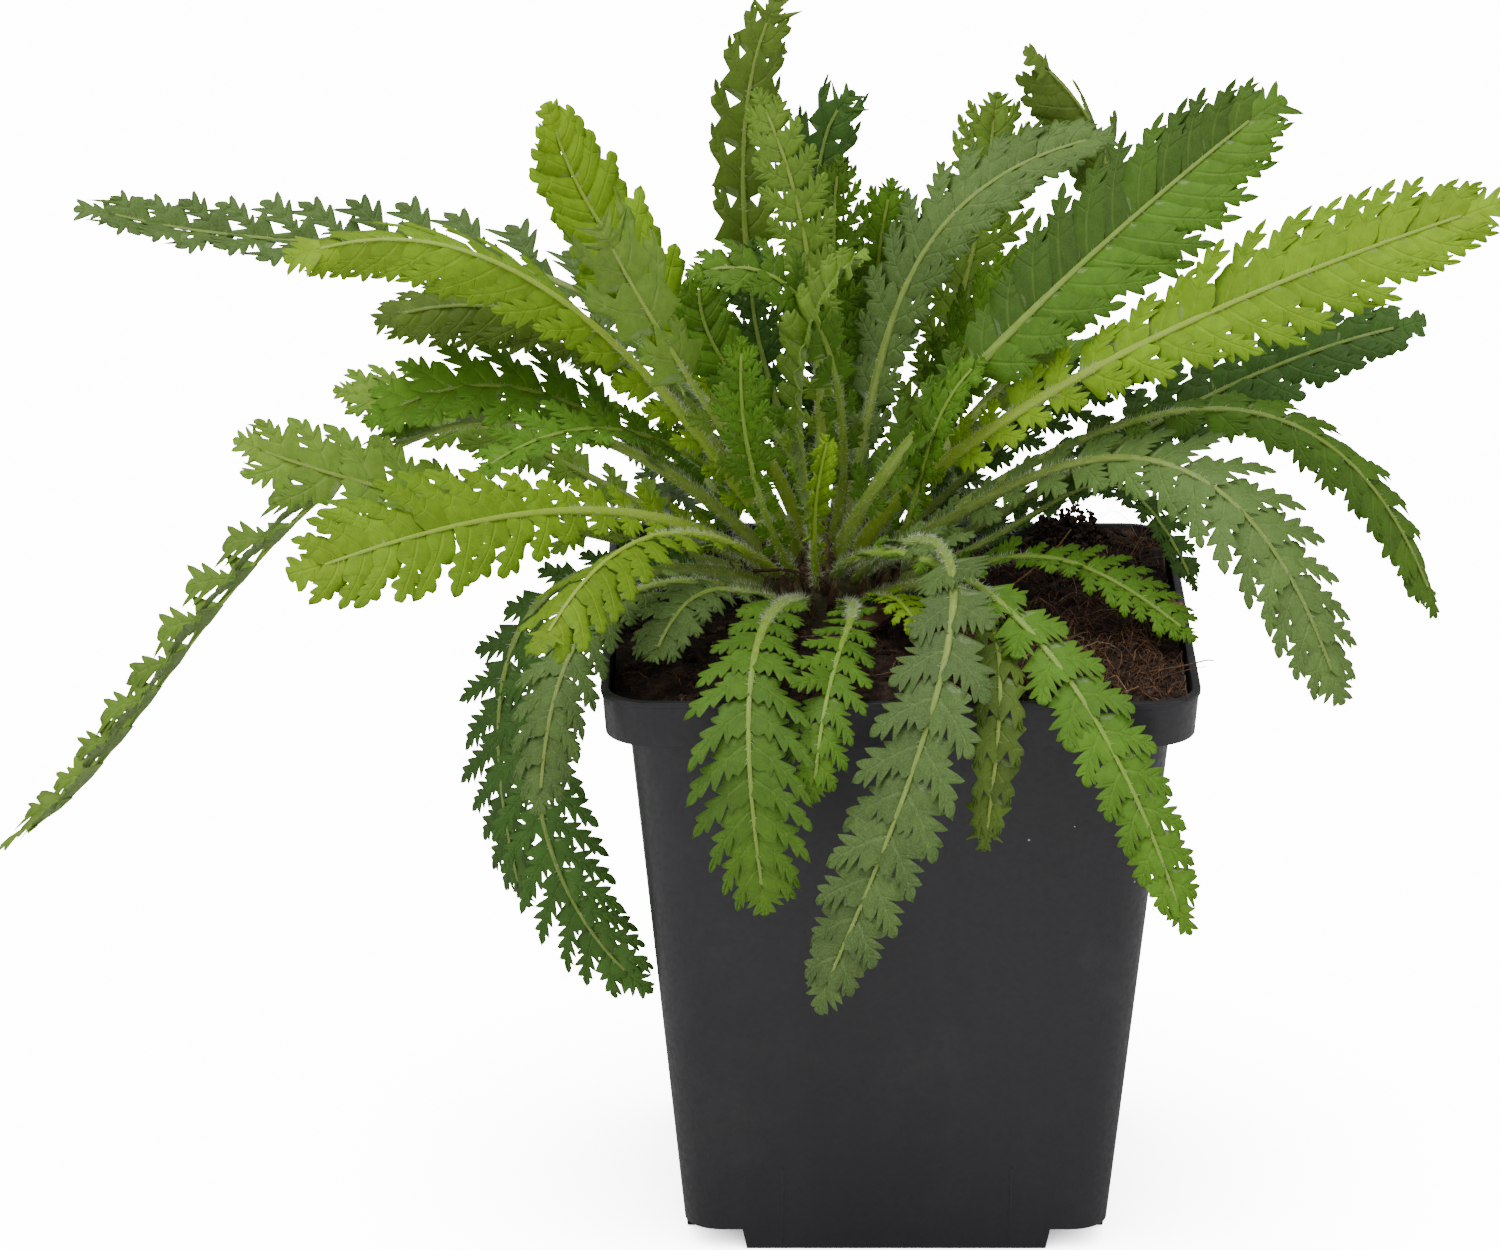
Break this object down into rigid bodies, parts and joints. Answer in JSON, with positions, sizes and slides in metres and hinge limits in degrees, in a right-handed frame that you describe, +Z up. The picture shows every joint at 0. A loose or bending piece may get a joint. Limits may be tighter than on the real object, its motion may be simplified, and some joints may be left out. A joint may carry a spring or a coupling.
{
  "type": "potted fernleaf yarrow",
  "caption": "Young fernleaf yarrow with arching, finely cut fronds in a square black nursery pot of peat.",
  "frame": {"origin": "the middle of the flat foot under the pot, on the floor", "axes": "+Z up, +X to the right and +Y away from the viewer of the pot's front face"},
  "size_m": [0.2756, 0.1896, 0.223],
  "materials": {
    "pot": "satin",
    "soil": "rough",
    "crown": "matte",
    "leaf_fresh": "matte",
    "leaf_bright": "matte",
    "leaf_pale": "matte",
    "leaf_mid": "matte",
    "leaf_dark": "matte",
    "leaf_grey": "matte",
    "leaf_olive": "matte"
  },
  "bodies": {
    "root": {"pot": "pot", "soil": "soil", "crown": "crown", "left_hang_side": "leaf_dark", "left_hang_tip": "leaf_dark", "left_rim": "leaf_grey", "left_near": "leaf_fresh", "left_sweep": "leaf_fresh", "left_behind": "leaf_pale", "left_drooper": "leaf_pale", "left_spiky": "leaf_bright", "left_level": "leaf_bright", "left_level_back": "leaf_pale", "left_olive": "leaf_olive", "left_arch": "leaf_fresh", "left_top": "leaf_grey", "quilted_tall": "leaf_fresh", "few_lobed": "leaf_pale", "quilted_short": "leaf_bright", "dark_upright": "leaf_dark", "spiky_upright": "leaf_bright", "tallest": "leaf_olive", "bowed_left": "leaf_mid", "pale_upright": "leaf_pale", "dark_forked": "leaf_dark", "middle_tuft": "leaf_mid", "middle_tuft_right": "leaf_bright", "furled_tall": "leaf_pale", "furled_short": "leaf_fresh", "right_pale_back": "leaf_pale", "right_grey_long": "leaf_grey", "right_hooked": "leaf_olive", "right_upper": "leaf_mid", "right_bright": "leaf_fresh", "right_dark": "leaf_dark", "right_fall": "leaf_mid", "right_arch": "leaf_grey", "right_back_hang": "leaf_dark", "right_over_soil": "leaf_bright", "right_inner": "leaf_bright", "right_middle": "leaf_bright", "right_low": "leaf_dark", "middle_dark": "leaf_dark", "front_right": "leaf_bright", "front_thin": "leaf_olive", "front_grey": "leaf_grey", "front_left_fern": "leaf_mid", "front_fern": "leaf_bright", "front_left_grey": "leaf_grey", "front_sprig": "leaf_fresh", "back_left": "leaf_mid", "back_middle": "leaf_pale", "back_right": "leaf_bright", "back_hang_left": "leaf_dark", "back_hang_right": "leaf_mid"}
  },
  "joints": []
}
